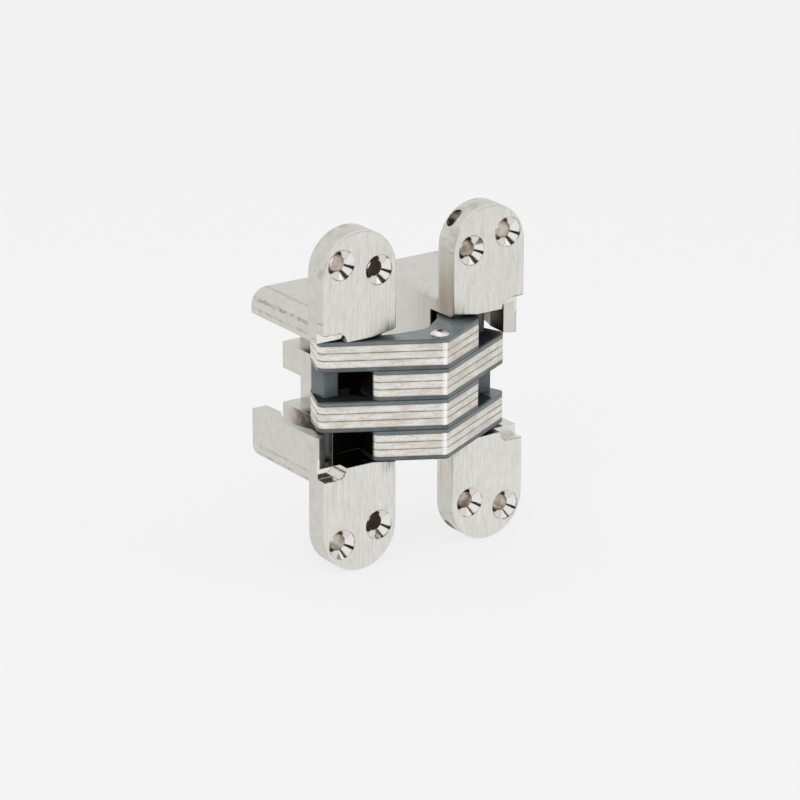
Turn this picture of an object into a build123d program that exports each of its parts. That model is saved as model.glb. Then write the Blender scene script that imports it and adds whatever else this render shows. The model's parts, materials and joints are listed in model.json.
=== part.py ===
# Concealed door hinge with two crossed link packs, drawn open flat at 180 degrees.
# All sizes are in millimetres. The origin is the middle of the left leaf's outer pair of screw holes,
# on the plane of the plate backs. X runs across the leaves, +Y runs into the door edge and Z is up.
# The right half is the left half turned half a turn about the line along Y in the hinge mid-plane,
# so both halves are drawn in a leaf's own frame: u away from the mid-plane, w back from the face.
import math
import os

from build123d import *

# leaf plate
LEAF_W = 28.5
LEAF_H = 117.5
LEAF_T = 9.1
LEAF_GAP = 23.0
FACE_EDGE_R = 0.7

# screw holes, four in each leaf, placed from the leaf's centre line and its end radius
SCREW_OFFSET = 7.3
SCREW_OUT_RISE = 3.8
SCREW_IN_DROP = 0.2
SCREW_R = 2.75
SINK_R = 5.15
SINK_ANGLE = 82

# layers of the link packs
PLATE_T = 2.55
LINER_T = 1.375
PLATES = 3
LEVEL_GAP = 0.05

# pivot places: pins in from the leaf's edges, depths from the leaf face
PIVOT_IN = 4.6
PIVOT_W = 5.7
CENTRE_W = -8.3
SLIDE_IN = 9.2
SLIDE_W = 13.6
SHORT_TURN = 117.6

# link outline
ARM_ANGLE = 28.0
NOSE = 4.65
NOSE_R = 1.8
LONG_LAND = 6.8
SHORT_LAND = 5.3
BACK_LAND = 7.6
END_R = 3.0
NECK_R = 4.0

# pins and what rides on them
PIVOT_R = 2.2
RIVET_R = 2.6
SLIDE_R = 1.5
RUN_FIT = 0.05
FIX_FIT = 0.01
PIN_SEAT = 4.7
PIN_CHAMFER = 0.4
HEAD_R = 3.15
HEAD_EDGE = 0.45
HEAD_H = 1.45
DIMPLE_R = 0.8
DIMPLE_D = 0.6
BLOCK_W = 5.7
BLOCK_D = 8.0
BLOCK_EDGE_R = 0.5
SLEEVE_R = 2.2
END_PLAY = 0.15

# housing behind the plate
BODY_DEPTH = 43.4
BODY_R = 5.7
PRONG_T = 8.2
SLOT_PLAY = 0.9
SWING_ROOM = 8.0
FINGER_W = 7.1
FINGER_PLAY = 0.3
FINGER_DROP = 0.95
LOW_FINGER_DROP = 1.5
BLOCK_PLAY = 0.15
WALL_T = 5.5
WALL_DROP = 0.35
WALL_FALL = 1.1
WALL_SETBACK = 4.2
LIP_T = 0.8
LIP_SLANT = 1.8
THIN_WALL_T = 4.0
BOW_DEPTH = 3.4
BOW_L = 20.8
SCALLOP_R = 3.4
SCALLOP_LEAD = 1.5
CORNER_CUT_H = 1.7
CORNER_CUT_L = 9.5
CORNER_CUT_D = 2.2
NOTCH_L = 6.8
NOTCH_R = 2.2
NOTCH_DEPTH = 3.4
NOTCH_FROM_BACK = 2.5
NOTCH_ANGLE = 45
CUT_PAST = 1.0

# worked out from the sizes above
INNER_U = LEAF_GAP / 2
LEAF_U = INNER_U + LEAF_W / 2
OUTER_U = INNER_U + LEAF_W
MID_X = LEAF_U + SCREW_OFFSET
FACE_Y = -LEAF_T
END_Z = LEAF_H / 2 - LEAF_W / 2
SCREW_OUT_Z = END_Z + SCREW_OUT_RISE
SCREW_IN_Z = END_Z - SCREW_IN_DROP
LEVEL_T = PLATES * PLATE_T + 2 * LINER_T
PITCH = LEVEL_T + LEVEL_GAP
STACK_HALF = 2 * PITCH
PIVOT_U = INNER_U + PIVOT_IN
SLIDE_U = OUTER_U - SLIDE_IN
SLOT_HALF_H = STACK_HALF + SLOT_PLAY
BODY_HALF_H = SLOT_HALF_H + PRONG_T
PIVOT_HALF_L = SLOT_HALF_H + PIN_SEAT
FRONT_ROOM = PIVOT_W + SWING_ROOM
GUIDE_U = SLIDE_U - BLOCK_W / 2 - BLOCK_PLAY
WEB_U = GUIDE_U - FINGER_W
WALL_U = OUTER_U - WALL_T
THIN_U = OUTER_U - THIN_WALL_T
LIP_U = OUTER_U - LIP_T
WALL_TOP = PITCH + WALL_DROP
BACK = BODY_DEPTH + CUT_PAST
TURN = math.radians(SHORT_TURN)
SHUT_U = PIVOT_U - PIVOT_U * math.cos(TURN) - (CENTRE_W - PIVOT_W) * math.sin(TURN)
LONG_END_U = SLIDE_U + LONG_LAND
SHORT_END_U = PIVOT_U + SHORT_LAND
APEX_W = CENTRE_W - NOSE
SLOPE = math.tan(math.radians(ARM_ANGLE))

# outline of one link as corners with their radii, long arm at positive u, short arm at negative u
LINK_CORNERS = [
    (0, APEX_W, NOSE_R),
    (LONG_END_U, APEX_W + LONG_END_U * SLOPE, 2.6),
    (SLIDE_U + 0.8, SLIDE_W + 8.3, END_R),
    (SLIDE_U - 4.2, SLIDE_W + 5.8, END_R),
    (SLIDE_U - 5.8, SLIDE_W - 4.4, NECK_R),
    (PIVOT_U + 3.9, PIVOT_W - 2.7, END_R),
    (PIVOT_U - 5.1, PIVOT_W - 5.1, 5.0),
    (0, CENTRE_W + BACK_LAND, 6.0),
    (7.1 - PIVOT_U, PIVOT_W + 0.5, NECK_R),
    (3.7 - PIVOT_U, PIVOT_W + 5.7, END_R),
    (-3.5 - PIVOT_U, PIVOT_W + 5.3, 4.5),
    (-SHORT_END_U, APEX_W + SHORT_END_U * SLOPE, 3.6),
]

# rooms cut in a leaf body: u from and to, w from and to, height from and to
LEAF_ROOMS = [
    (INNER_U - CUT_PAST, WALL_U, -CUT_PAST, FRONT_ROOM, -SLOT_HALF_H, SLOT_HALF_H),
    (GUIDE_U, WALL_U, FRONT_ROOM - CUT_PAST, BACK, -SLOT_HALF_H, SLOT_HALF_H),
    (WALL_U - CUT_PAST, OUTER_U + CUT_PAST, -CUT_PAST, WALL_SETBACK, WALL_TOP - CUT_PAST, SLOT_HALF_H),
    (WEB_U, GUIDE_U + CUT_PAST, FRONT_ROOM - CUT_PAST, BACK, -SLOT_HALF_H, FINGER_DROP - PITCH),
    (WEB_U, GUIDE_U + CUT_PAST, FRONT_ROOM - CUT_PAST, BACK, -FINGER_PLAY, PITCH + LOW_FINGER_DROP),
]


def level_plane(side, t):
    # level plane at height t in a leaf's own frame, x along u and y along w
    return Plane(origin=(MID_X, FACE_Y, side * t), x_dir=(side, 0, 0), z_dir=(0, 0, side))


def face_plane(side, w):
    # upright plane w behind the leaf face, x along u and y along the leaf
    return Plane(origin=(MID_X, FACE_Y + w, 0), x_dir=(side, 0, 0), z_dir=(0, -1, 0))


def side_plane(side, u):
    # upright plane at u, facing outwards, x along w and y along the height in a leaf's own frame
    return Plane(origin=(MID_X + side * u, FACE_Y, 0), x_dir=(0, 1, 0), z_dir=(side, 0, 0))


os.makedirs("parts", exist_ok=True)

# the two leaf castings
for side, name in ((-1, "left_leaf"), (1, "right_leaf")):
    with BuildPart() as leaf:
        # front plate with round ends and a softened face edge
        with BuildSketch(face_plane(side, 0)):
            with Locations((LEAF_U, 0)):
                SlotOverall(LEAF_H, LEAF_W, rotation=90)
        extrude(amount=-LEAF_T)
        fillet(leaf.faces().sort_by(Axis.Y)[0].edges(), radius=FACE_EDGE_R)
        # housing with rounded long edges
        with BuildSketch(face_plane(side, LEAF_T / 2)):
            with Locations((LEAF_U, 0)):
                RectangleRounded(LEAF_W, 2 * BODY_HALF_H, BODY_R)
        extrude(amount=LEAF_T / 2 - BODY_DEPTH)
        # slot, slide channel, wall set-back and the rooms for the long arm
        for u0, u1, w0, w1, t0, t1 in LEAF_ROOMS:
            with BuildSketch(level_plane(side, t0)):
                with Locations(((u0 + u1) / 2, (w0 + w1) / 2)):
                    Rectangle(u1 - u0, w1 - w0)
            extrude(amount=t1 - t0, mode=Mode.SUBTRACT)
        # side window in the outer wall, its edge falling back with the casting draft
        with BuildSketch(side_plane(side, WALL_U - CUT_PAST)):
            with BuildLine():
                Polyline(
                    (-CUT_PAST, -SLOT_HALF_H),
                    (BACK, -SLOT_HALF_H),
                    (BACK, WALL_TOP + WALL_FALL),
                    (-CUT_PAST, WALL_TOP),
                    close=True,
                )
            make_face()
        extrude(amount=WALL_T + 2 * CUT_PAST, mode=Mode.SUBTRACT)
        # inside of the outer wall: a slant behind the front lip, then a bow for the sleeve's travel
        bow_from = (THIN_U, SLIDE_W)
        bow_mid = (WALL_U + BOW_DEPTH, SLIDE_W + BOW_L / 2)
        bow_to = (WALL_U, SLIDE_W + BOW_L)
        with BuildSketch(level_plane(side, WALL_TOP - CUT_PAST)):
            with BuildLine():
                ThreePointArc(bow_from, bow_mid, bow_to)
                Polyline(
                    bow_to,
                    (WALL_U - CUT_PAST, bow_to[1]),
                    (WALL_U - CUT_PAST, 0),
                    (LIP_U, 0),
                    (LIP_U, WALL_SETBACK),
                    (THIN_U, WALL_SETBACK + LIP_SLANT),
                    bow_from,
                )
            make_face()
        extrude(amount=SLOT_HALF_H - WALL_TOP + CUT_PAST, mode=Mode.SUBTRACT)
        # scallops in both slot edges, open at the outer side, for the rivet heads when the door is shut
        scallop_u = SHUT_U - SCALLOP_LEAD
        scallop_l = OUTER_U + SCALLOP_R - scallop_u
        with BuildSketch(face_plane(side, -CUT_PAST)):
            with Locations((scallop_u + scallop_l / 2, SLOT_HALF_H), (scallop_u + scallop_l / 2, -SLOT_HALF_H)):
                SlotCenterToCenter(scallop_l, 2 * SCALLOP_R)
        extrude(amount=-(WALL_SETBACK + CUT_PAST), mode=Mode.SUBTRACT)
        # slanted cuts across the inner corners of the slot
        for end in (-1, 1):
            corner = Vector(MID_X + side * INNER_U, FACE_Y, end * SLOT_HALF_H)
            along = corner + Vector(side * CORNER_CUT_L, 0, 0)
            raised = corner + Vector(0, 0, end * CORNER_CUT_H)
            inward = corner + Vector(0, CORNER_CUT_D, 0)
            normal = (raised - along).cross(inward - along)
            if normal.dot(corner - along) < 0:
                normal = -normal
            slant = Plane(origin=along, x_dir=raised - along, z_dir=normal)
            with BuildSketch(slant):
                with BuildLine():
                    Polyline(*[slant.to_local_coords(p) for p in (along, raised, inward)], close=True)
                make_face()
            extrude(amount=CORNER_CUT_H, mode=Mode.SUBTRACT)
        # countersunk screw holes
        with Locations(face_plane(side, 0)):
            with Locations(
                (LEAF_U + SCREW_OFFSET, SCREW_OUT_Z),
                (LEAF_U + SCREW_OFFSET, -SCREW_OUT_Z),
                (LEAF_U - SCREW_OFFSET, SCREW_IN_Z),
                (LEAF_U - SCREW_OFFSET, -SCREW_IN_Z),
            ):
                CounterSinkHole(SCREW_R, SINK_R, depth=LEAF_T + CUT_PAST, counter_sink_angle=SINK_ANGLE)
        # blind oblong notches in the inner rim of the plate ends
        slant_turn = math.radians(NOTCH_ANGLE)
        for end in (-1, 1):
            out = Vector(-side * math.cos(slant_turn), 0, end * math.sin(slant_turn))
            along_rim = out.cross(Vector(0, 1, 0))
            rim = Vector(MID_X + side * LEAF_U, -NOTCH_FROM_BACK, end * END_Z) + out * (LEAF_W / 2 + CUT_PAST)
            with BuildSketch(Plane(origin=rim, x_dir=along_rim, z_dir=-out)):
                SlotOverall(NOTCH_L, 2 * NOTCH_R)
            extrude(amount=NOTCH_DEPTH + CUT_PAST, mode=Mode.SUBTRACT)
        # hole for the fixed pivot pin
        with BuildSketch(level_plane(side, -PIVOT_HALF_L)):
            with Locations((PIVOT_U, PIVOT_W)):
                Circle(PIVOT_R + FIX_FIT)
        extrude(amount=2 * PIVOT_HALF_L, mode=Mode.SUBTRACT)
    leaf.part.label = name
    export_step(leaf.part, "parts/" + name + ".step")

# the two links, each with two packs of plates between two liners
for side, letter, rivet_fit in ((-1, "a", FIX_FIT), (1, "b", RUN_FIT)):
    for pack, start in ((1, LEVEL_GAP / 2 - STACK_HALF), (2, LEVEL_GAP / 2)):
        layers = [("liner_1", start, LINER_T)]
        for sheet in range(PLATES):
            layers.append(("plate_%d" % (sheet + 1), start + LINER_T + sheet * PLATE_T, PLATE_T))
        layers.append(("liner_2", start + LEVEL_T - LINER_T, LINER_T))
        for layer, low, thick in layers:
            with BuildPart() as link_layer:
                with BuildSketch(level_plane(side, low)) as outline:
                    with BuildLine():
                        Polyline(*[(u, w) for u, w, r in LINK_CORNERS], close=True)
                    make_face()
                    for u, w, r in LINK_CORNERS:
                        fillet(outline.vertices().sort_by_distance((u, w, 0))[0], radius=r)
                    with Locations((0, CENTRE_W)):
                        Circle(RIVET_R + rivet_fit, mode=Mode.SUBTRACT)
                    with Locations((-PIVOT_U, PIVOT_W)):
                        Circle(PIVOT_R + RUN_FIT, mode=Mode.SUBTRACT)
                    with Locations((SLIDE_U, SLIDE_W)):
                        Circle(SLIDE_R + FIX_FIT, mode=Mode.SUBTRACT)
                extrude(amount=thick)
            name = "link_%s_pack_%d_%s" % (letter, pack, layer)
            link_layer.part.label = name
            export_step(link_layer.part, "parts/" + name + ".step")

# centre rivet through both links, domed and dimpled at each end
rivet_y = FACE_Y + CENTRE_W
with BuildPart() as rivet:
    with BuildSketch(Plane(origin=(MID_X, rivet_y, -STACK_HALF))):
        Circle(RIVET_R)
    extrude(amount=2 * STACK_HALF)
    for end in (-1, 1):
        with BuildSketch(Plane(origin=(MID_X, rivet_y, end * STACK_HALF), x_dir=(1, 0, 0), z_dir=(0, -end, 0))):
            with BuildLine():
                Polyline((0, HEAD_H - DIMPLE_D), (0, 0), (HEAD_R, 0), (HEAD_R, HEAD_EDGE))
                TangentArc((DIMPLE_R, HEAD_H), (HEAD_R, HEAD_EDGE), tangent=(1, 0))
                TangentArc((0, HEAD_H - DIMPLE_D), (DIMPLE_R, HEAD_H), tangent=(1, 0))
            make_face()
        revolve(axis=Axis((MID_X, rivet_y, 0), (0, 0, 1)))
rivet.part.label = "centre_rivet"
export_step(rivet.part, "parts/centre_rivet.step")

# pins, slide blocks and sleeves, one set for each leaf
for side, word in ((-1, "left"), (1, "right")):
    with BuildPart() as pivot_pin:
        with BuildSketch(level_plane(side, -PIVOT_HALF_L)):
            with Locations((PIVOT_U, PIVOT_W)):
                Circle(PIVOT_R)
        extrude(amount=2 * PIVOT_HALF_L)
        chamfer(pivot_pin.edges().filter_by(GeomType.CIRCLE), length=PIN_CHAMFER)
    pivot_pin.part.label = word + "_pivot_pin"
    export_step(pivot_pin.part, "parts/" + word + "_pivot_pin.step")

    with BuildPart() as slide_pin:
        with BuildSketch(level_plane(side, -STACK_HALF)):
            with Locations((SLIDE_U, SLIDE_W)):
                Circle(SLIDE_R)
        extrude(amount=2 * STACK_HALF)
        chamfer(slide_pin.edges().filter_by(GeomType.CIRCLE), length=PIN_CHAMFER)
    slide_pin.part.label = word + "_slide_pin"
    export_step(slide_pin.part, "parts/" + word + "_slide_pin.step")

    with BuildPart() as block:
        with BuildSketch(level_plane(side, END_PLAY - PITCH)):
            with Locations((SLIDE_U, SLIDE_W)):
                RectangleRounded(BLOCK_W, BLOCK_D, BLOCK_EDGE_R)
                Circle(SLIDE_R + RUN_FIT, mode=Mode.SUBTRACT)
        extrude(amount=PITCH - 2 * END_PLAY)
    block.part.label = word + "_slide_block"
    export_step(block.part, "parts/" + word + "_slide_block.step")

    with BuildPart() as sleeve:
        with BuildSketch(level_plane(side, PITCH)):
            with Locations((SLIDE_U, SLIDE_W)):
                Circle(SLEEVE_R)
                Circle(SLIDE_R + FIX_FIT, mode=Mode.SUBTRACT)
        extrude(amount=PITCH - 2 * END_PLAY)
    sleeve.part.label = word + "_sleeve"
    export_step(sleeve.part, "parts/" + word + "_sleeve.step")
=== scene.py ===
import json
import math
from types import SimpleNamespace

import bpy
from mathutils import Matrix, Vector


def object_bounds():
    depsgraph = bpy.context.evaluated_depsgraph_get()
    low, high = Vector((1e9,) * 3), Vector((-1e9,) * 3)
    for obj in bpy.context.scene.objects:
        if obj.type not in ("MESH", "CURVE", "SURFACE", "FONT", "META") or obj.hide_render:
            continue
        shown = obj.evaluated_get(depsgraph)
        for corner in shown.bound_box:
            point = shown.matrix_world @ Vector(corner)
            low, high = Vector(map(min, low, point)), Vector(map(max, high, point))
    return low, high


# The CAD nodes are shown as they are. This script adds their finishes, a studio and the camera. A finish
# is placed by where a point lies in its node and by which way the surface faces, so it moves with the node.

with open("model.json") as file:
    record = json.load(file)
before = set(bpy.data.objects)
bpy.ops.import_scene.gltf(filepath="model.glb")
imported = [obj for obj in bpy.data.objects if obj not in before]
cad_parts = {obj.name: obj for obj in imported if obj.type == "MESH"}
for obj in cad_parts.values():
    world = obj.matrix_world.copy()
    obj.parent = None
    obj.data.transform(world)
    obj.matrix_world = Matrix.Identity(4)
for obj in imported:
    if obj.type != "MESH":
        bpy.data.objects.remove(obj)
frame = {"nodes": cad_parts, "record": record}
cad_low, cad_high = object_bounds()

# ---- sizes from the CAD model, in metres ----
# u: distance from the mid-plane, w: depth behind the leaf faces, h: height above or below the middle

MID_X = 0.03305
FACE_Y = -0.0091
SCREW_OUT = (0.03305, 0.0483)  # u, h
SCREW_IN = (0.01845, 0.0443)  # u, h
SCREW_R = 0.00275
SINK_R = 0.00515
SINK_D = 0.00276
SCALLOP = (0.03447, 0.0218)  # u, h
SCALLOP_R = 0.0034
SCALLOP_D = 0.0042
SLOT_HALF_H = 0.0218
INNER_U = 0.0115
OUTER_U = 0.040
GUIDE_U = 0.0278
PLATE_BACK = 0.0091
CORNER_U = 0.0343
END_SPOT = (0.02575, 0.0445)  # u, h
END_R = 0.01425
STACK_HALF = 0.0209
PITCH = 0.01045
LINER_T = 0.001375
PLATE_T = 0.00255
SHORT_END_U = 0.0225
APEX_W = -0.01295
ARM_SLOPE = 0.5317
CENTRE_W = -0.0083
DIMPLE_R = 0.0011

# ---- camera fitted to the photograph's leaf outlines and screw holes ----

CAM_AZIMUTH = math.radians(34.56895)
CAM_ELEVATION = math.radians(19.53094)
CAM_ROLL = math.radians(0.1574)
CAM_DISTANCE = 1.37226
CAM_RIGHT = -0.00828938
CAM_UP = -0.00395539
CAM_FOCAL = 4157.15 / 800  # in image widths
CAM_SENSOR = 36.0
CAM_CLIP = (0.05, 20)

# ---- ranges that several finishes share, each from none to full ----

MIDDLING = (0.3, 0.7)  # the middle of a noise
SIDEWAYS = (0.8, 0.5)  # up-or-down part of the normal, on a face that looks sideways
LEFT_LEAF = (0.001, -0.001)  # distance to the right of the mid-plane
RIGHT_LEAF = (-0.001, 0.001)

# near-black for the slot's pocket and notch and the links' short-arm ends, a painted shade, and the
# roughness of all painted-dark places
SLOT_BLACK = (0.012, 0.010, 0.009, 1)
OILY_ROUGH = 0.7
POLISHED_ROUGH = 0.12
BEVEL_SAMPLES = 4
LINE_CORE = 0.4  # part of a line's half width that is full


class Tree:
    """Short names for building one node tree."""

    def __init__(self, owner):
        owner.use_nodes = True
        self.tree = owner.node_tree
        self.tree.nodes.clear()

    def add(self, kind, inputs=(), **settings):
        made = self.tree.nodes.new(kind)
        for name, value in settings.items():
            setattr(made, name, value)
        for name, value in dict(inputs).items():
            self.put(made.inputs[name], value)
        return made

    def put(self, socket, value):
        """Link a socket to another node's output, or set it to a plain value."""
        if isinstance(value, bpy.types.NodeSocket):
            self.tree.links.new(value, socket)
        else:
            socket.default_value = value

    def close(self, shader, output="ShaderNodeOutputMaterial"):
        """End the tree with a shader."""
        self.tree.links.new(shader.outputs[0], self.add(output).inputs["Surface"])

    def math(self, kind, *values):
        made = self.add("ShaderNodeMath", operation=kind)
        for socket, value in zip(made.inputs, values):
            self.put(socket, value)
        return made.outputs[0]

    def plus(self, first, second):
        return self.math("ADD", first, second)

    def minus(self, first, second):
        return self.math("SUBTRACT", first, second)

    def size(self, value):
        return self.math("ABSOLUTE", value)

    def rest_of(self, mask):
        return self.minus(1.0, mask)

    def times(self, first, *others):
        for other in others:
            first = self.math("MULTIPLY", first, other)
        return first

    def most(self, first, *others):
        for other in others:
            first = self.math("MAXIMUM", first, other)
        return first

    def weigh(self, first, *others):
        """Sum of values, each given with its share."""
        total = self.times(*first)
        for other in others:
            total = self.plus(total, self.times(*other))
        return total

    def ramp(self, value, low, high, to_low=0.0, to_high=1.0):
        made = self.add("ShaderNodeMapRange", interpolation_type="SMOOTHSTEP")
        for socket, number in zip(made.inputs, (value, low, high, to_low, to_high)):
            self.put(socket, number)
        return made.outputs[0]

    def band(self, value, low, high, soft):
        rise = self.ramp(value, low - soft, low + soft)
        return self.times(rise, self.ramp(value, high + soft, high - soft))

    def line(self, value, centre, half):
        return self.ramp(self.size(self.minus(value, centre)), half, LINE_CORE * half)

    # A Mix node's sockets are found by number, because those of each kind share their names.

    def mix(self, factor, first, second):
        """Mix of two colours."""
        made = self.add("ShaderNodeMix", data_type="RGBA")
        self.put(made.inputs[0], factor)
        self.put(made.inputs[6], first)
        self.put(made.inputs[7], second)
        return made.outputs[2]

    def blend(self, factor, first, second):
        """Mix of two numbers."""
        made = self.add("ShaderNodeMix", data_type="FLOAT")
        self.put(made.inputs[0], factor)
        self.put(made.inputs[2], first)
        self.put(made.inputs[3], second)
        return made.outputs[0]

    def parts(self, name):
        """A texture coordinate and its x, y and z."""
        vector = self.add("ShaderNodeTexCoord").outputs[name]
        split = self.add("ShaderNodeSeparateXYZ", {"Vector": vector})
        return vector, split.outputs["X"], split.outputs["Y"], split.outputs["Z"]

    def place(self):
        return self.parts("Object")

    def facing(self):
        return self.parts("Normal")[1:]

    def noise(self, vector, pattern):
        scale, detail, rough = pattern
        mapped = self.add("ShaderNodeMapping", {"Vector": vector, "Scale": scale})
        inputs = {"Vector": mapped.outputs[0], "Scale": 1.0, "Detail": detail, "Roughness": rough}
        return self.add("ShaderNodeTexNoise", inputs).outputs["Fac"]

    def span(self, first, second):
        return self.math("SQRT", self.plus(self.times(first, first), self.times(second, second)))

    def near(self, across, along, spot):
        return self.span(self.minus(across, spot[0]), self.minus(along, spot[1]))

    def bump(self, height, distance, strength, edge):
        """Fine relief, over edges softened by a small radius."""
        soft = self.add("ShaderNodeBevel", {"Radius": edge}, samples=BEVEL_SAMPLES)
        inputs = {"Height": height, "Distance": distance, "Strength": strength, "Normal": soft.outputs[0]}
        return self.add("ShaderNodeBump", inputs).outputs[0]

    def surface(self, **values):
        shader = self.add("ShaderNodeBsdfPrincipled")
        for name, value in values.items():
            self.put(shader.inputs[name.replace("_", " ")], value)
        self.close(shader)


def new_look(name):
    """A new material and its empty tree."""
    made = bpy.data.materials.new(name)
    return made, Tree(made)


# ---- leaf castings ----
# noise patterns: scale along x, y and z, detail, roughness

BRUSH_LINES = ((2900, 2900, 210), 4.0, 0.65)
BRUSH_BROAD = ((700, 700, 40), 3.0, 0.6)
BRUSH_BLOTCH = ((330, 330, 170), 3.0, 0.6)
CAST_CLOUD = ((300, 300, 300), 3.0, 0.55)
CAST_GRAIN = ((4200, 4200, 4200), 2.0, 0.55)
DULL_PATCH = ((210, 130, 210), 4.0, 0.6)
RIM_SCRATCH = ((420, 60, 420), 3.0, 0.7)
GUIDE_RUB = ((120, 200, 45), 3.0, 0.55)
SLOT_RUB = ((60, 420, 16), 3.0, 0.55)
LOW_RUB = ((260, 300, 260), 3.0, 0.55)
GRIME_LINES = ((1300, 1300, 60), 2.0, 0.55)
PARTING_WANDER = ((90, 420, 0), 3.0, 0.55)
PARTING_BREAKS = ((500, 420, 500), 4.0, 0.65)
WEAR = ((330, 330, 330), 2.0, 0.55)

BRUSHED = ((0.676, 0.669, 0.622, 1), (0.873, 0.863, 0.818, 1))
# the cast tone on top-facing faces is a darker copy of the side tone, a painted shade
CAST_SIDE = ((0.645, 0.625, 0.575, 1), (0.71, 0.69, 0.64, 1))
CAST_TOP = ((0.60, 0.595, 0.553, 1), (0.66, 0.655, 0.612, 1))
DULL = (0.33, 0.315, 0.285, 1)
RUBBED = (0.40, 0.33, 0.23, 1)
LOW_RUBBED = (0.20, 0.145, 0.085, 1)
GRIME = (0.22, 0.20, 0.175, 1)
# tone of the parting line, and of the painted shade line on the top faces at the corner
PARTING = (0.24, 0.22, 0.19, 1)
POLISHED = (0.87, 0.845, 0.81, 1)
WORN_LIP = (0.20, 0.165, 0.13, 1)
BORE_OUT = (0.47, 0.395, 0.30, 1)
# the inner bores' darker tone and the left leaf's near-black are a painted reflection, over the brown stain
BORE_IN = (0.29, 0.222, 0.155, 1)
BORE_OILED = (0.075, 0.047, 0.028, 1)
# dark brown painted on the inner face of the outer wall, a painted shade
WALL_INSIDE = (0.16, 0.122, 0.092, 1)

# places where a finish comes in, from none to full
FACE_AT_W = (0.0009, 0.0002)
BEHIND_AT_W = (PLATE_BACK + 0.0002, PLATE_BACK + 0.0006)
HOLE_AT_R = (SCREW_R + 0.00025, SCREW_R + 0.0001)
CONE_AT_R = (SINK_R + 0.0001, SINK_R)
CONE_AT_W = (SINK_D + 0.0004, SINK_D + 0.0002)
BORE_AT_W = (SINK_D - 0.0001, SINK_D + 0.0001)
SCALLOP_AT_R = (SCALLOP_R + 0.0002, SCALLOP_R + 0.00008)
SCALLOP_AT_W = (SCALLOP_D + 0.0001, SCALLOP_D + 0.00002)
SLOT_END_BAND = (SLOT_HALF_H - 0.0003, SLOT_HALF_H + 0.0001, 0.0001)
SLOT_END_AT_W = (0.0002, 0.0006)
SLOT_AT_H = (SLOT_HALF_H + 0.0002, SLOT_HALF_H + 0.00005)
GUIDE_AT_U = (GUIDE_U + 0.0006, GUIDE_U + 0.0002)
POCKET_FRONT_W = (0.0004, 0.0008)
POCKET_BACK_W = (0.036, 0.027)
POCKET_BAND = (INNER_U + 0.0003, GUIDE_U - 0.0002, 0.0001)
NOTCH_AT_R = (END_R - 0.0003, END_R - 0.0007)
NOTCH_AT_H = (0.0440, 0.0450)
NOTCH_BAND = (0.0012, 0.0084, 0.0002)
HOLLOW_AT_H = (0.0530, 0.0522)
WALL_AT_U = (0.029, 0.031)
WALL_AT_W = (0.0035, 0.0045)
DULL_AT_H = (0.038, 0.050, 0.25, 1.0)
RUB_AT_W = (0.036, 0.024, 0.12, 0.8)
SLOT_RUB_AT_H = (0.046, 0.026)
SLOT_RUB_AT_W = (0.024, 0.014)
SLOT_RUB_AT_U = (0.0125, 0.0118)
LOW_RUB_AT_H = (0.0112, 0.0122)
LOW_RUB_AT_W = (0.042, 0.030, 0.1, 0.85)
GRIME_AT_H = (0.0285, 0.0224)
GRIME_AT_U = (0.0190, 0.0135)
PARTING_AT_U = (OUTER_U - 0.0030, OUTER_U - 0.0022)
PARTING_LINE, PARTING_SHARE = (0.0270, 0.0007), 0.75  # h and half width
SECOND_LINE, SECOND_SHARE = (0.0238, 0.0006), 0.4
PARTING_SWAY = 0.0014
# dark line on the top faces where the rounded corner starts, a painted shade
CORNER_LINE, CORNER_SHARE = (CORNER_U, 0.0011), 0.3
SINK_LIP = (SINK_R - 0.0001, 0.00028)
SCALLOP_LIP = (SCALLOP_R + 0.0001, 0.0003)
INNER_HOLES_AT_U = (0.0262, 0.0253)

# parts of the normal
RIM_FACING = (0.7, 0.4)
SLOT_END_FACING = (0.5, 0.8)
TOP_FACING = (0.6, 0.9)
CORNER_FACING = (0.85, 0.95)
WALL_INWARD = (-0.2, -0.5)
WALL_FORWARD = (-0.30, -0.15)
GUIDE_OUTWARD = (0.4, 0.8)
SLOT_RUB_INWARD = (-0.4, -0.8)
PARTING_OUTWARD = (0.15, 0.4)

# strengths over the noise
BRUSH_SHARES = (0.62, 0.13, 0.25)
BRUSH_RANGE = (0.33, 0.67)
DULL_RANGE = (0.50, 0.68, 0.0, 0.45)
SCRATCH_RANGE = (0.66, 0.70, 0.0, 0.7)
RUB_RANGE, RUB_SHARE = (0.46, 0.66), 0.7
SLOT_RUB_RANGE = (0.40, 0.66)
LOW_RUB_RANGE = (0.35, 0.6, 0.45, 1.0)
GRIME_RANGE, GRIME_SHARE = (0.42, 0.60), 0.8
BREAK_RANGE = (0.40, 0.62, 0.12, 1.0)
LIP_RANGE = (0.38, 0.62, 0.1, 0.7)
STAIN_RANGE = (0.35, 0.65, 0.55, 1.0)
WALL_SHARE = 0.9
CAST_ROUGH = (0.2, 0.8, 0.30, 0.38)
BRUSH_ROUGH = (0.25, 0.75, 0.30, 0.42)
RIGHT_SCALLOP_ROUGH = 0.45
BORE_ROUGH = 0.30
FILM_OVER_METAL = 0.85
GRAIN_HEIGHT = 0.5
SMOOTH_HEIGHT = 0.5
LEAF_BUMP = (0.00002, 0.45, 0.0003)  # distance, strength, edge radius


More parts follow.
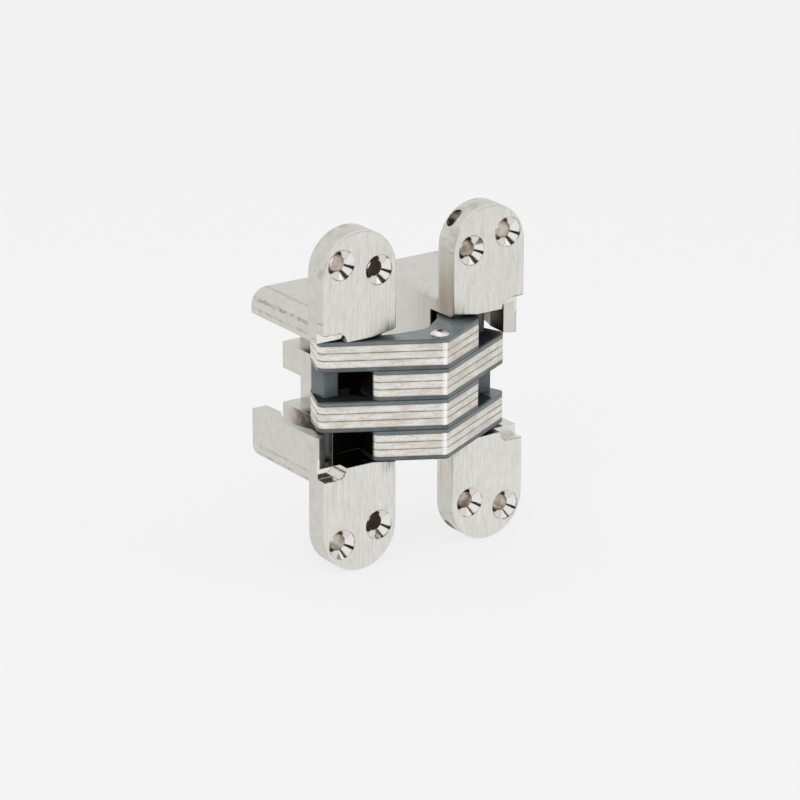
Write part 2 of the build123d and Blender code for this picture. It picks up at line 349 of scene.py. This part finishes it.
def leaf_masks(t):
    """Coordinates on a leaf, and where each of its finishes lies."""
    at = SimpleNamespace()
    at.spot, x, y, z = t.place()
    nx, ny, nz = t.facing()
    at.across = t.minus(x, MID_X)
    at.u = t.size(at.across)
    at.h = t.size(z)
    at.w = t.minus(y, FACE_Y)
    at.out = t.times(nx, t.math("SIGN", at.across))
    at.level = t.size(nz)

    at.face = t.ramp(at.w, *FACE_AT_W)
    at.behind = t.ramp(at.w, *BEHIND_AT_W)
    in_plate = t.rest_of(at.behind)
    at.rim = t.times(t.ramp(t.size(ny), *RIM_FACING), in_plate)

    # screw holes, and the scallops beside the slot's corners
    at.sink = t.math("MINIMUM", t.near(at.u, at.h, SCREW_OUT), t.near(at.u, at.h, SCREW_IN))
    hole = t.times(t.ramp(at.sink, *HOLE_AT_R), in_plate)
    cone = t.most(hole, t.times(t.ramp(at.sink, *CONE_AT_R), t.ramp(at.w, *CONE_AT_W)))
    at.bore = t.times(hole, t.ramp(at.w, *BORE_AT_W))
    lead = t.math("MAXIMUM", t.minus(SCALLOP[0], at.u), 0.0)
    at.reach = t.span(lead, t.minus(at.h, SCALLOP[1]))
    at.scallop = t.times(t.ramp(at.reach, *SCALLOP_AT_R), t.ramp(at.w, *SCALLOP_AT_W))
    at.shiny = t.most(cone, at.scallop)

    # slot: its flat ends, the guide side, the pocket, and the notch through the round end; the pocket and
    # the notch are painted near-black, a painted shade
    slot_end = t.times(t.ramp(at.level, *SLOT_END_FACING), t.band(at.h, *SLOT_END_BAND))
    slot_end = t.times(slot_end, t.ramp(at.w, *SLOT_END_AT_W))
    within = t.times(t.ramp(at.h, *SLOT_AT_H), t.rest_of(slot_end))
    at.inside = t.times(at.behind, within, t.ramp(at.u, *GUIDE_AT_U))
    pocket = t.times(within, t.ramp(at.w, *POCKET_FRONT_W), t.ramp(at.w, *POCKET_BACK_W))
    pocket = t.times(pocket, t.band(at.u, *POCKET_BAND))
    notch = t.times(t.ramp(t.near(at.u, at.h, END_SPOT), *NOTCH_AT_R), t.ramp(at.h, *NOTCH_AT_H))
    notch = t.times(notch, t.band(at.w, *NOTCH_BAND), t.rest_of(cone))
    at.deep = t.most(pocket, t.times(notch, t.ramp(at.h, *HOLLOW_AT_H)))
    # the inner face of the outer wall, painted dark brown further down as a painted shade
    wall = t.times(t.ramp(at.out, *WALL_INWARD), t.ramp(ny, *WALL_FORWARD), within)
    at.wall_inside = t.times(wall, t.ramp(at.u, *WALL_AT_U), t.ramp(at.w, *WALL_AT_W))
    at.smooth = t.most(at.shiny, slot_end)

    # the bores are stained brown; the inner ones are painted darker, and those of the left leaf near-black,
    # a painted reflection of the dark housing beside them
    at.inner_hole = t.ramp(at.u, *INNER_HOLES_AT_U)
    at.oiled = t.times(at.inner_hole, t.ramp(at.across, *LEFT_LEAF))
    at.film = t.times(at.bore, at.oiled)
    return at


def leaf_metal(t, at, streak, cast):
    """Bare metal: brushed lines on the face, faint cast clouds elsewhere; the top-facing cast faces take a
    darker tone, a painted shade.
    """
    grounds = (streak, t.noise(at.spot, BRUSH_BROAD), t.noise(at.spot, BRUSH_BLOTCH))
    tone = t.weigh(*zip(grounds, BRUSH_SHARES))
    cloud = t.ramp(cast, *MIDDLING)
    # top-facing faces take the darker cast tone, a painted shade
    smooth = t.mix(t.ramp(at.level, *TOP_FACING), t.mix(cloud, *CAST_SIDE), t.mix(cloud, *CAST_TOP))
    return t.mix(at.face, smooth, t.mix(t.ramp(tone, *BRUSH_RANGE), *BRUSHED))


def leaf_wear(t, at, colour):
    """Dull patches and scratches on the rim, brown rub marks in and by the slot, dark vertical streaks on
    the face by its inner corners.
    """
    dull = t.times(t.ramp(t.noise(at.spot, DULL_PATCH), *DULL_RANGE), t.ramp(at.h, *DULL_AT_H))
    scratch = t.ramp(t.noise(at.spot, RIM_SCRATCH), *SCRATCH_RANGE)
    colour = t.mix(t.times(at.rim, t.most(dull, scratch)), colour, DULL)

    guide = t.times(at.inside, t.ramp(at.out, *GUIDE_OUTWARD))
    rub = t.times(t.ramp(t.noise(at.spot, GUIDE_RUB), *RUB_RANGE), guide, t.ramp(at.w, *RUB_AT_W))
    by_slot = t.times(t.ramp(at.out, *SLOT_RUB_INWARD), t.ramp(at.h, *SLOT_RUB_AT_H))
    by_slot = t.times(by_slot, t.ramp(at.w, *SLOT_RUB_AT_W), t.ramp(at.u, *SLOT_RUB_AT_U))
    rub = t.most(rub, t.times(t.ramp(t.noise(at.spot, SLOT_RUB), *SLOT_RUB_RANGE), by_slot))
    colour = t.mix(t.times(rub, RUB_SHARE), colour, RUBBED)

    low_rub = t.times(guide, t.ramp(at.h, *LOW_RUB_AT_H), t.ramp(at.w, *LOW_RUB_AT_W))
    low_rub = t.times(low_rub, t.ramp(t.noise(at.spot, LOW_RUB), *LOW_RUB_RANGE))
    colour = t.mix(low_rub, colour, LOW_RUBBED)

    # dark vertical streaks on the face near the slot's inner corners
    corner = t.times(at.face, t.ramp(at.h, *GRIME_AT_H), t.ramp(at.u, *GRIME_AT_U))
    grime = t.times(t.ramp(t.noise(at.spot, GRIME_LINES), *GRIME_RANGE), corner)
    return t.mix(t.times(grime, GRIME_SHARE), colour, GRIME)


def leaf_parting(t, at, colour):
    """Soft trace of the mould's parting line along the housing's rounded edge, and a dark line on the top
    face where the rounded corner starts, a painted shade.
    """
    sway = t.times(t.minus(t.noise(at.spot, PARTING_WANDER), 0.5), PARTING_SWAY)
    wander = t.plus(at.h, sway)
    broken = t.ramp(t.noise(at.spot, PARTING_BREAKS), *BREAK_RANGE)
    parting = t.times(t.line(wander, *PARTING_LINE), broken, PARTING_SHARE)
    parting = t.most(parting, t.times(t.line(wander, *SECOND_LINE), broken, SECOND_SHARE))
    parting = t.times(parting, t.ramp(at.out, *PARTING_OUTWARD), t.ramp(at.u, *PARTING_AT_U), at.behind)
    # a dark line on the top faces where the rounded corner starts: painted shade
    corner = t.times(t.line(at.u, *CORNER_LINE), at.behind, t.ramp(at.level, *CORNER_FACING), CORNER_SHARE)
    return t.mix(t.most(parting, corner), colour, PARTING)


def leaf_openings(t, at, colour):
    """Polished sinks and scallops with worn lips and stained bores; the inner bores are painted darker, a
    painted reflection, and the inner face of the wall and the inside of the slot are painted dark, a
    painted shade.
    """
    colour = t.mix(at.shiny, colour, POLISHED)
    wear = t.noise(at.spot, WEAR)
    lip = t.most(t.line(at.sink, *SINK_LIP), t.line(at.reach, *SCALLOP_LIP))
    colour = t.mix(t.times(lip, at.face, t.ramp(wear, *LIP_RANGE)), colour, WORN_LIP)
    # inner bores darker and the left leaf's inner bores near-black: a painted reflection
    bore_tone = t.mix(at.oiled, t.mix(at.inner_hole, BORE_OUT, BORE_IN), BORE_OILED)
    stained = t.most(at.oiled, t.ramp(wear, *STAIN_RANGE))
    colour = t.mix(t.times(at.bore, stained), colour, bore_tone)
    # the inner face of the outer wall is painted dark brown, a painted shade
    colour = t.mix(t.times(at.wall_inside, WALL_SHARE), colour, WALL_INSIDE)
    # the slot's pocket and the notch through the round end are painted near-black, a painted shade
    return t.mix(at.deep, colour, SLOT_BLACK)


def leaf_material():
    """Satin nickel on zinc: brushed face, smooth cast sides, polished countersinks; the slot's inside is
    painted dark, a painted shade.
    """
    made, t = new_look("leaf_nickel")
    at = leaf_masks(t)
    streak = t.noise(at.spot, BRUSH_LINES)
    cast = t.noise(at.spot, CAST_CLOUD)
    colour = leaf_metal(t, at, streak, cast)
    for layer in (leaf_wear, leaf_parting, leaf_openings):
        colour = layer(t, at, colour)

    rough = t.blend(at.face, t.ramp(cast, *CAST_ROUGH), t.ramp(streak, *BRUSH_ROUGH))
    rough = t.blend(at.smooth, rough, POLISHED_ROUGH)
    rough = t.blend(t.times(at.scallop, t.ramp(at.across, *RIGHT_LEAF)), rough, RIGHT_SCALLOP_ROUGH)
    rough = t.blend(at.bore, rough, BORE_ROUGH)
    rough = t.blend(t.most(at.film, at.deep), rough, OILY_ROUGH)
    metal = t.rest_of(t.times(at.film, FILM_OVER_METAL))
    height = t.blend(at.face, t.times(t.noise(at.spot, CAST_GRAIN), GRAIN_HEIGHT), streak)
    height = t.blend(at.smooth, height, SMOOTH_HEIGHT)
    t.surface(Base_Color=colour, Metallic=metal, Roughness=rough, Normal=t.bump(height, *LEAF_BUMP))
    return made


# ---- link packs ----

PLATE_LINES = ((160, 160, 5200), 3.0, 0.6)
PLATE_MOTTLE = ((900, 900, 900), 4.0, 0.65)
PLATE_SHADE = ((130, 130, 420), 2.0, 0.55)
PLATE_SMUDGE = ((380, 380, 800), 3.0, 0.6)
STAIN_PATCH = ((210, 210, 160), 2.0, 0.55)

PLATE = ((0.62, 0.59, 0.525, 1), (0.93, 0.915, 0.875, 1))
SMUDGED = (0.50, 0.47, 0.42, 1)
STAINED = (0.50, 0.42, 0.33, 1)
SEAM = (0.17, 0.14, 0.115, 1)
# brighter tone painted on the links' nose, a painted highlight
NOSE = (0.95, 0.94, 0.915, 1)

PLATE_SHARES = (0.36, 0.24, 0.40)
PLATE_RANGE = (0.34, 0.66)
SMUDGE_RANGE = (0.54, 0.70, 0.0, 0.4)
PATCH_RANGE = (0.35, 0.65, 0.2, 0.7)
SEAM_AT_EDGE = (0.00016, 0.00004)
STAIN_AT_EDGE = (0.0007, 0.0001)
NOSE_LINE = (MID_X - 0.0007, 0.0011)  # x and half width
NOSE_AT_Y = (FACE_Y + CENTRE_W, FACE_Y + CENTRE_W - 0.001)
NOSE_SHARE = 0.8
SHORT_END_AT_U = (SHORT_END_U + 0.0005, SHORT_END_U)
SHORT_END_OUTWARD = (0.5, 0.7)
SHORT_END_FORWARD = (-0.35, -0.10)
PLATE_ROUGH = (0.25, 0.75, 0.16, 0.28)
TONE_HEIGHT = 0.5
SEAM_HEIGHT = -2.0
PLATE_BUMP = (0.00003, 0.5, 0.00025)  # distance, strength, edge radius


def short_end(t, across, nx, ny):
    """Where the flat end of a link's short arm lies, which works inside the slot; it is painted near-black
    there, a painted shade.
    """
    out = t.times(nx, t.math("SIGN", across))
    turned = t.times(t.ramp(out, *SHORT_END_OUTWARD), t.ramp(ny, *SHORT_END_FORWARD))
    return t.times(turned, t.ramp(t.size(across), *SHORT_END_AT_U))


def pack_level(t, z):
    """Height above the foot of the pack that a point lies in."""
    return t.math("FLOORED_MODULO", t.plus(z, STACK_HALF), PITCH)


def plate_material():
    """Bright nickel on stamped plates, with a thin brownish seam where two plates meet."""
    made, t = new_look("plate_nickel")
    spot, x, y, z = t.place()
    nx, ny, nz = t.facing()
    step = t.math("FLOORED_MODULO", t.minus(pack_level(t, z), LINER_T), PLATE_T)
    edge = t.math("MINIMUM", step, t.minus(PLATE_T, step))
    rim = t.ramp(t.size(nz), *SIDEWAYS)
    seam = t.times(t.ramp(edge, *SEAM_AT_EDGE), rim)
    stain = t.times(t.ramp(edge, *STAIN_AT_EDGE), rim, t.ramp(t.noise(spot, STAIN_PATCH), *PATCH_RANGE))

    mottle = t.noise(spot, PLATE_MOTTLE)
    grounds = (t.noise(spot, PLATE_LINES), mottle, t.noise(spot, PLATE_SHADE))
    tone = t.weigh(*zip(grounds, PLATE_SHARES))
    colour = t.mix(t.ramp(tone, *PLATE_RANGE), *PLATE)
    colour = t.mix(t.ramp(t.noise(spot, PLATE_SMUDGE), *SMUDGE_RANGE), colour, SMUDGED)
    colour = t.mix(stain, colour, STAINED)
    colour = t.mix(seam, colour, SEAM)

    # polished nose, its colour painted brighter as a painted highlight; and the short-arm ends inside the
    # slots, painted near-black as a painted shade
    nose = t.times(t.line(x, *NOSE_LINE), t.ramp(y, *NOSE_AT_Y), rim)
    colour = t.mix(t.times(nose, NOSE_SHARE), colour, NOSE)
    end = short_end(t, t.minus(x, MID_X), nx, ny)
    # the short-arm ends are painted near-black, a painted shade
    colour = t.mix(end, colour, SLOT_BLACK)
    rough = t.blend(nose, t.ramp(mottle, *PLATE_ROUGH), POLISHED_ROUGH)
    rough = t.blend(end, rough, OILY_ROUGH)
    height = t.weigh((tone, TONE_HEIGHT), (seam, SEAM_HEIGHT))
    t.surface(Base_Color=colour, Metallic=1.0, Roughness=rough, Normal=t.bump(height, *PLATE_BUMP))
    return made


# ---- plastic liners and slides ----

PLASTIC_CLOUD = ((160, 160, 160), 3.0, 0.55)
PLASTIC_GRAIN = ((5200, 5200, 5200), 2.0, 0.55)
PLASTIC_SCUFF = ((1500, 220, 700), 3.0, 0.6)

LINER = ((0.060, 0.073, 0.077, 1), (0.145, 0.174, 0.182, 1))
LINER_GLOSS = (0.16, 0.28)
SLIDE = ((0.075, 0.100, 0.105, 1), (0.110, 0.138, 0.144, 1))
SLIDE_GLOSS = (0.26, 0.40)
LINER_JOINT = (0.015, 0.017, 0.018, 1)
# near-black painted on the liners' flat faces towards the slides, a painted shade and reflection
GREASE = (0.006, 0.006, 0.006, 1)

CLOUD_RANGE = (0.25, 0.75)
SCUFF_RANGE = (0.62, 0.75, 0.0, 0.3)
SCUFF_GAIN = 1.5
# the upper liner of each pack is painted paler than the lower, a painted light and shade
UPPER_LINER = (0.4 * PITCH, 0.6 * PITCH)
LINER_SHARES = (0.55, 0.45)
JOINT_BELOW = (0.0003, 0.0001)
JOINT_ABOVE = (PITCH - 0.0003, PITCH - 0.0001)
GREASE_AT_U = (0.011, 0.020)
GREASE_BEHIND_EDGE = (0.0003, 0.0014)
GREASE_FACING = (0.8, 0.95)
GREASE_SCUFFED = (0.30, 0.70, 1.0, 0.93)
UPPER_HALF_Z = (-0.002, 0.002)
CLEAN_END_LOW = (0.0308, 0.0294)
CLEAN_END_HIGH = (0.037, 0.030, 0.5, 1.0)
GREASE_ROUGH = 0.8
PLASTIC_BUMP = (0.00001, 0.4, 0.0002)  # distance, strength, edge radius


def plastic_ground(t, spot, tone, shades, gloss):
    """Colour, roughness and scuffs of the bare plastic."""
    scuff = t.noise(spot, PLASTIC_SCUFF)
    pale = tuple(min(1, SCUFF_GAIN * part) for part in shades[1][:3]) + (1,)
    colour = t.mix(t.ramp(scuff, *SCUFF_RANGE), t.mix(tone, *shades), pale)
    rough = t.weigh((t.noise(spot, PLASTIC_CLOUD), 0.5), (scuff, 0.5))
    return colour, t.ramp(rough, *MIDDLING, *gloss), scuff


def plastic_surface(t, spot, colour, rough):
    """Plastic with a faint moulded grain."""
    normal = t.bump(t.noise(spot, PLASTIC_GRAIN), *PLASTIC_BUMP)
    t.surface(Base_Color=colour, Roughness=rough, Normal=normal)


def slide_material():
    """Blue-grey bearing plastic of the slides and sleeves."""
    made, t = new_look("slide_plastic")
    spot = t.place()[0]
    tone = t.ramp(t.noise(spot, PLASTIC_CLOUD), *CLOUD_RANGE)
    colour, rough, _ = plastic_ground(t, spot, tone, SLIDE, SLIDE_GLOSS)
    plastic_surface(t, spot, colour, rough)
    return made


def liner_material():
    """Blue-grey bearing plastic of the liners; the upper one of each pack is painted paler and the lower
    darker, a painted light and shade, and the flat faces towards the slides near-black, a painted shade and
    reflection.
    """
    made, t = new_look("liner_plastic")
    spot, x, y, z = t.place()
    nx, ny, nz = t.facing()
    level = pack_level(t, z)
    cloud = t.ramp(t.noise(spot, PLASTIC_CLOUD), *CLOUD_RANGE)
    # the upper liner is painted paler and the lower darker, a painted light and shade
    tone = t.weigh(*zip((cloud, t.ramp(level, *UPPER_LINER)), LINER_SHARES))
    colour, rough, scuff = plastic_ground(t, spot, tone, LINER, LINER_GLOSS)
    joint = t.most(t.ramp(level, *JOINT_BELOW), t.ramp(level, *JOINT_ABOVE))
    colour = t.mix(t.times(joint, t.ramp(t.size(nz), *SIDEWAYS)), colour, LINER_JOINT)

    # near-black painted shade and reflection on the flat faces towards the slides, left off a strip along
    # the front edge
    across = t.minus(x, MID_X)
    u = t.size(across)
    ahead = t.minus(t.minus(y, FACE_Y + APEX_W), t.times(u, ARM_SLOPE))
    ends = (t.ramp(across, *CLEAN_END_LOW), t.ramp(across, *CLEAN_END_HIGH))
    right_end = t.blend(t.ramp(z, *UPPER_HALF_Z), *ends)
    grease = t.times(t.ramp(u, *GREASE_AT_U), right_end, t.ramp(ahead, *GREASE_BEHIND_EDGE))
    grease = t.times(grease, t.ramp(t.size(nz), *GREASE_FACING), t.ramp(scuff, *GREASE_SCUFFED))
    # the liners' short-arm ends are painted near-black too, a painted shade
    grease = t.most(grease, short_end(t, across, nx, ny))
    colour = t.mix(grease, colour, GREASE)
    plastic_surface(t, spot, colour, t.blend(grease, rough, GREASE_ROUGH))
    return made


# ---- rivet and pins ----

TURNED_RINGS = ((140, 140, 6000), 2.0, 0.55)
OIL_FILM = ((500, 500, 300), 3.0, 0.55)

RIVET = ((0.70, 0.685, 0.66, 1), (0.84, 0.83, 0.81, 1))
RIVET_GLOSS = (0.08, 0.16)
PIN = ((0.30, 0.30, 0.31, 1), (0.50, 0.50, 0.51, 1))
PIN_GLOSS = (0.20, 0.32)
# dark painted in the rivet's dimple, a painted shade
DIMPLE = (0.06, 0.05, 0.045, 1)
DIMPLE_AT_R = (DIMPLE_R + 0.0002, DIMPLE_R - 0.0001)
TURNED_BUMP = (0.00001, 0.35, 0.00015)  # distance, strength, edge radius


def turned_material(name, shades, gloss):
    """Turned or ground steel with fine rings round the pin, painted dark in the dimple of a spun head, a
    painted shade.
    """
    made, t = new_look(name)
    spot, x, y, _ = t.place()
    rings = t.noise(spot, TURNED_RINGS)
    colour = t.mix(t.ramp(t.noise(spot, OIL_FILM), *MIDDLING), *shades)
    dimple = t.ramp(t.near(x, y, (MID_X, FACE_Y + CENTRE_W)), *DIMPLE_AT_R)
    # the dimple is painted dark, a painted shade
    colour = t.mix(dimple, colour, DIMPLE)
    rough = t.ramp(rings, *MIDDLING, *gloss)
    t.surface(Base_Color=colour, Metallic=1.0, Roughness=rough, Normal=t.bump(rings, *TURNED_BUMP))
    return made


LOOKS = {
    "leaf_casting": leaf_material(),
    "link_plate": plate_material(),
    "link_liner": liner_material(),
    "rivet": turned_material("rivet_polish", RIVET, RIVET_GLOSS),
    "pin": turned_material("pin_steel", PIN, PIN_GLOSS),
    "slide_plastic": slide_material(),
}

for part in frame["record"]["subparts"]:
    shown = frame["nodes"][part["node"]]
    shown.data.materials.clear()
    shown.data.materials.append(LOOKS[part["material_slot"]])

# ---- studio ----

PALE = (0.896, 0.896, 0.896, 1)
FLOOR_MATT = (0.86, 0.86, 0.86, 1)
FLOOR_GLOW_SHARE = 0.88  # the rest keeps the object's shadow
FLOOR_SIZE = 6
FLOOR_GAP = 0.0002
WHITE = (1, 1, 1, 1)
FILL_STRENGTH = 0.55
MIDDLE = (MID_X, 0.0, 0.0)
FLOOR_CARD_Z = cad_low.z + 0.001

# name, place, width and height, watts; each is turned to the hinge
LAMPS = (
    ("key", (-0.95, -0.90, 1.00), (1.5, 1.5), 12.0),
    ("fill", (1.10, -0.95, 0.50), (1.0, 1.2), 4.5),
    ("top", (0.0, 0.20, 1.3), (1.6, 1.6), 9.0),
)

# name, place, width and height, colour; each is turned to the hinge
CARDS = (
    ("card_top", (0.0, 0.20, 1.2), (1.6, 1.6), (1.10, 1.10, 1.09, 1)),
    ("card_left", (-0.58, -0.42, 0.17), (0.50, 0.26), (0.012, 0.011, 0.010, 1)),
    ("card_high", (0.0, -0.30, 0.72), (0.50, 0.16), (0.012, 0.011, 0.010, 1)),
    ("card_right", (0.53, -0.68, 0.39), (0.34, 0.40), (0.030, 0.022, 0.016, 1)),
)

# name, x and y, width and depth, colour; these lie just above the floor
FLOOR_CARDS = (
    ("card_low", (0.40, 0.02), (0.50, 0.50), (0.80, 0.795, 0.78, 1)),
    ("card_nose", (0.028, -0.195), (0.040, 0.13), (1.2, 1.2, 1.19, 1)),
)


def seen_directly(t):
    """1 for rays from the camera, or by way of metal or glass."""
    rays = t.add("ShaderNodeLightPath").outputs
    return t.most(rays["Is Camera Ray"], rays["Is Glossy Ray"], rays["Is Transmission Ray"])


def mix_shaders(t, factor, first, second):
    return t.add("ShaderNodeMixShader", {0: factor, 1: first.outputs[0], 2: second.outputs[0]})


def glow(t, colour):
    return t.add("ShaderNodeEmission", {"Color": colour, "Strength": 1.0})


def turn_to(made, place, aim):
    """Set a thing at a place, its -Z towards a point."""
    made.location = place
    made.rotation_mode = "QUATERNION"
    made.rotation_quaternion = (Vector(aim) - Vector(place)).to_track_quat("-Z", "Y")


def lamp(name, place, size, power):
    """Soft light. The metal sees cards instead of lamps."""
    data = bpy.data.lights.new(name, "AREA")
    data.shape = "RECTANGLE"
    data.size, data.size_y = size
    data.energy = power
    made = bpy.data.objects.new(name, data)
    bpy.context.collection.objects.link(made)
    turn_to(made, place, MIDDLE)
    made.visible_glossy = False


def card(name, place, aim, size, colour):
    """Plain studio card that only glossy surfaces see."""
    bpy.ops.mesh.primitive_plane_add(size=1)
    made = bpy.context.object
    made.name = name
    turn_to(made, place, aim)
    made.scale = (size[0], size[1], 1)
    look, t = new_look(name)
    t.close(glow(t, colour))
    made.data.materials.append(look)
    made.visible_camera = False
    made.visible_diffuse = False
    made.visible_shadow = False
    made.visible_transmission = False


# pale floor that keeps a soft shadow
bpy.ops.mesh.primitive_plane_add(size=FLOOR_SIZE, location=(MID_X, 0, cad_low.z - FLOOR_GAP))
floor = bpy.context.object
floor.name = "floor"
floor_look, tree = new_look("floor_pale")
matt = tree.add("ShaderNodeBsdfDiffuse", {"Color": FLOOR_MATT})
share = tree.times(seen_directly(tree), FLOOR_GLOW_SHARE)
tree.close(mix_shaders(tree, share, matt, glow(tree, PALE)))
floor.data.materials.append(floor_look)

# pale world for what the camera and the metal see, plain soft fill for the rest
world = bpy.data.worlds.new("studio")
bpy.context.scene.world = world
tree = Tree(world)
fill = tree.add("ShaderNodeBackground", {"Color": WHITE, "Strength": FILL_STRENGTH})
pale = tree.add("ShaderNodeBackground", {"Color": PALE, "Strength": 1.0})
tree.close(mix_shaders(tree, seen_directly(tree), fill, pale), "ShaderNodeOutputWorld")

for lamp_row in LAMPS:
    lamp(*lamp_row)
for name, place, size, colour in CARDS:
    card(name, place, MIDDLE, size, colour)
for name, (x, y), size, colour in FLOOR_CARDS:
    card(name, (x, y, FLOOR_CARD_Z), (x, y, -1.0), size, colour)

# ---- camera at the photograph's angle ----

level_part = math.cos(CAM_ELEVATION)
back = Vector((
    -math.sin(CAM_AZIMUTH) * level_part,
    -math.cos(CAM_AZIMUTH) * level_part,
    math.sin(CAM_ELEVATION),
))
right = Vector((math.cos(CAM_AZIMUTH), -math.sin(CAM_AZIMUTH), 0))
up = back.cross(right)
aim = Vector((MID_X, FACE_Y, 0)) + CAM_RIGHT * right + CAM_UP * up
turned_right = right * math.cos(CAM_ROLL) + up * math.sin(CAM_ROLL)
turned_up = up * math.cos(CAM_ROLL) - right * math.sin(CAM_ROLL)
turn = Matrix((turned_right, turned_up, back)).transposed().to_4x4()

camera = bpy.data.objects.new("camera", bpy.data.cameras.new("camera"))
bpy.context.collection.objects.link(camera)
camera.data.sensor_width = CAM_SENSOR
camera.data.lens = CAM_FOCAL * CAM_SENSOR
camera.data.clip_start, camera.data.clip_end = CAM_CLIP
camera.matrix_world = Matrix.Translation(aim + CAM_DISTANCE * back) @ turn
bpy.context.scene.camera = camera
bpy.context.scene.view_settings.view_transform = "Standard"
